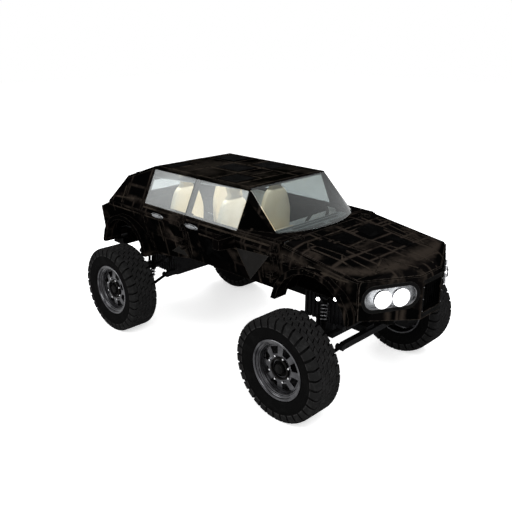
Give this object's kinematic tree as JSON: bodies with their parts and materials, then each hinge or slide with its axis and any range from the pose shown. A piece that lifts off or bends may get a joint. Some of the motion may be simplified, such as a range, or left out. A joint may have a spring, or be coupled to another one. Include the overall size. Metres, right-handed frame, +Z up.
{
  "type": "lifted off-road 4x4",
  "caption": "Lifted off-road 4x4 with an angular five-door body, large lugged tyres on long suspension arms and a hinged bonnet, doors and tailgate.",
  "frame": {"origin": "on the ground under the middle of the overall length and width", "axes": "+X forward along the vehicle, +Y to the left of the driver, +Z up"},
  "size_m": [4.367, 2.324, 1.981],
  "materials": {
    "body_black": "worn matt black",
    "frame_black": "satin black",
    "glass": "clear grey",
    "tyre": "matt",
    "rim_steel": "polished dark",
    "rib_metal": "cast, bare",
    "bare_steel": "machined",
    "spring_chrome": "bright",
    "seat_cloth": "woven cream",
    "dash_grey": "grained",
    "trim_black": "grained",
    "floor_grey": "rubber mat",
    "lamp": "clear lens",
    "red_lens": "red lens"
  },
  "bodies": {
    "body": {"body_side_left": "body_black", "body_side_right": "body_black", "cabin_floor": "floor_grey", "coilovers": "spring_chrome", "cowl_panel": "body_black", "dashboard": "dash_grey", "drive_shafts": "bare_steel", "engine_block": "rib_metal", "frame_crossmembers": "frame_black", "frame_rails": "frame_black", "front_fender_left": "body_black", "front_fender_right": "body_black", "front_housing": "rib_metal", "front_seats": "seat_cloth", "grille": "frame_black", "headlamps": "lamp", "nose_panel": "body_black", "rear_bumper": "frame_black", "rear_housing": "rib_metal", "rear_hub_carriers": "rib_metal", "rear_seats": "seat_cloth", "roof_panel": "body_black", "steering_wheel": "trim_black", "suspension_arms": "frame_black", "tail_lamps": "red_lens", "windscreen": "glass"},
    "front_door_body_left": {"front_door_left": "body_black", "front_door_glass_left": "glass", "wing_mirror_left": "trim_black"},
    "rear_door_body_left": {"rear_door_left": "body_black", "rear_door_glass_left": "glass"},
    "knuckle_body_left": {"knuckle_left": "rib_metal"},
    "wheel_front_left": {"tyre_front_left": "tyre", "rim_front_left": "rim_steel"},
    "wheel_rear_left": {"tyre_rear_left": "tyre", "rim_rear_left": "rim_steel"},
    "front_door_body_right": {"front_door_right": "body_black", "front_door_glass_right": "glass", "wing_mirror_right": "trim_black"},
    "rear_door_body_right": {"rear_door_right": "body_black", "rear_door_glass_right": "glass"},
    "knuckle_body_right": {"knuckle_right": "rib_metal"},
    "wheel_front_right": {"tyre_front_right": "tyre", "rim_front_right": "rim_steel"},
    "wheel_rear_right": {"tyre_rear_right": "tyre", "rim_rear_right": "rim_steel"},
    "bonnet_body": {"bonnet": "body_black"},
    "tailgate_body": {"tailgate": "body_black", "tailgate_glass": "glass"}
  },
  "joints": [
    {"name": "front_door_hinge_left", "type": "hinge", "parent": "body", "child": "front_door_body_left", "pos_m": [0.942, 0.824, 1.34], "axis": [0, 0, -1], "range_deg": [0, 62]},
    {"name": "rear_door_hinge_left", "type": "hinge", "parent": "body", "child": "rear_door_body_left", "pos_m": [-0.417, 0.824, 1.34], "axis": [0, 0, -1], "range_deg": [0, 62]},
    {"name": "steer_left", "type": "hinge", "parent": "body", "child": "knuckle_body_left", "pos_m": [1.3135, 0.79, 0.514], "axis": [0, 0, 1], "range_deg": [-30, 30]},
    {"name": "wheel_spin_front_left", "type": "hinge", "parent": "knuckle_body_left", "child": "wheel_front_left", "pos_m": [1.3135, 0.991, 0.514], "axis": [0, 1, 0], "continuous": true},
    {"name": "wheel_spin_rear_left", "type": "hinge", "parent": "body", "child": "wheel_rear_left", "pos_m": [-1.4085, 0.991, 0.514], "axis": [0, 1, 0], "continuous": true},
    {"name": "front_door_hinge_right", "type": "hinge", "parent": "body", "child": "front_door_body_right", "pos_m": [0.942, -0.824, 1.34], "axis": [0, 0, 1], "range_deg": [0, 62]},
    {"name": "rear_door_hinge_right", "type": "hinge", "parent": "body", "child": "rear_door_body_right", "pos_m": [-0.417, -0.824, 1.34], "axis": [0, 0, 1], "range_deg": [0, 62]},
    {"name": "steer_right", "type": "hinge", "parent": "body", "child": "knuckle_body_right", "pos_m": [1.3135, -0.79, 0.514], "axis": [0, 0, 1], "range_deg": [-30, 30]},
    {"name": "wheel_spin_front_right", "type": "hinge", "parent": "knuckle_body_right", "child": "wheel_front_right", "pos_m": [1.3135, -0.991, 0.514], "axis": [0, 1, 0], "continuous": true},
    {"name": "wheel_spin_rear_right", "type": "hinge", "parent": "body", "child": "wheel_rear_right", "pos_m": [-1.4085, -0.991, 0.514], "axis": [0, 1, 0], "continuous": true},
    {"name": "bonnet_hinge", "type": "hinge", "parent": "body", "child": "bonnet_body", "pos_m": [1.0275, 0, 1.606], "axis": [0, -1, 0], "range_deg": [0, 55]},
    {"name": "tailgate_hinge", "type": "hinge", "parent": "body", "child": "tailgate_body", "pos_m": [-1.594, 0, 1.8255], "axis": [0, 1, 0], "range_deg": [0, 75]}
  ],
  "couplings": [
    {"joint": "steer_right", "follows": "steer_left", "ratio": 1}
  ]
}
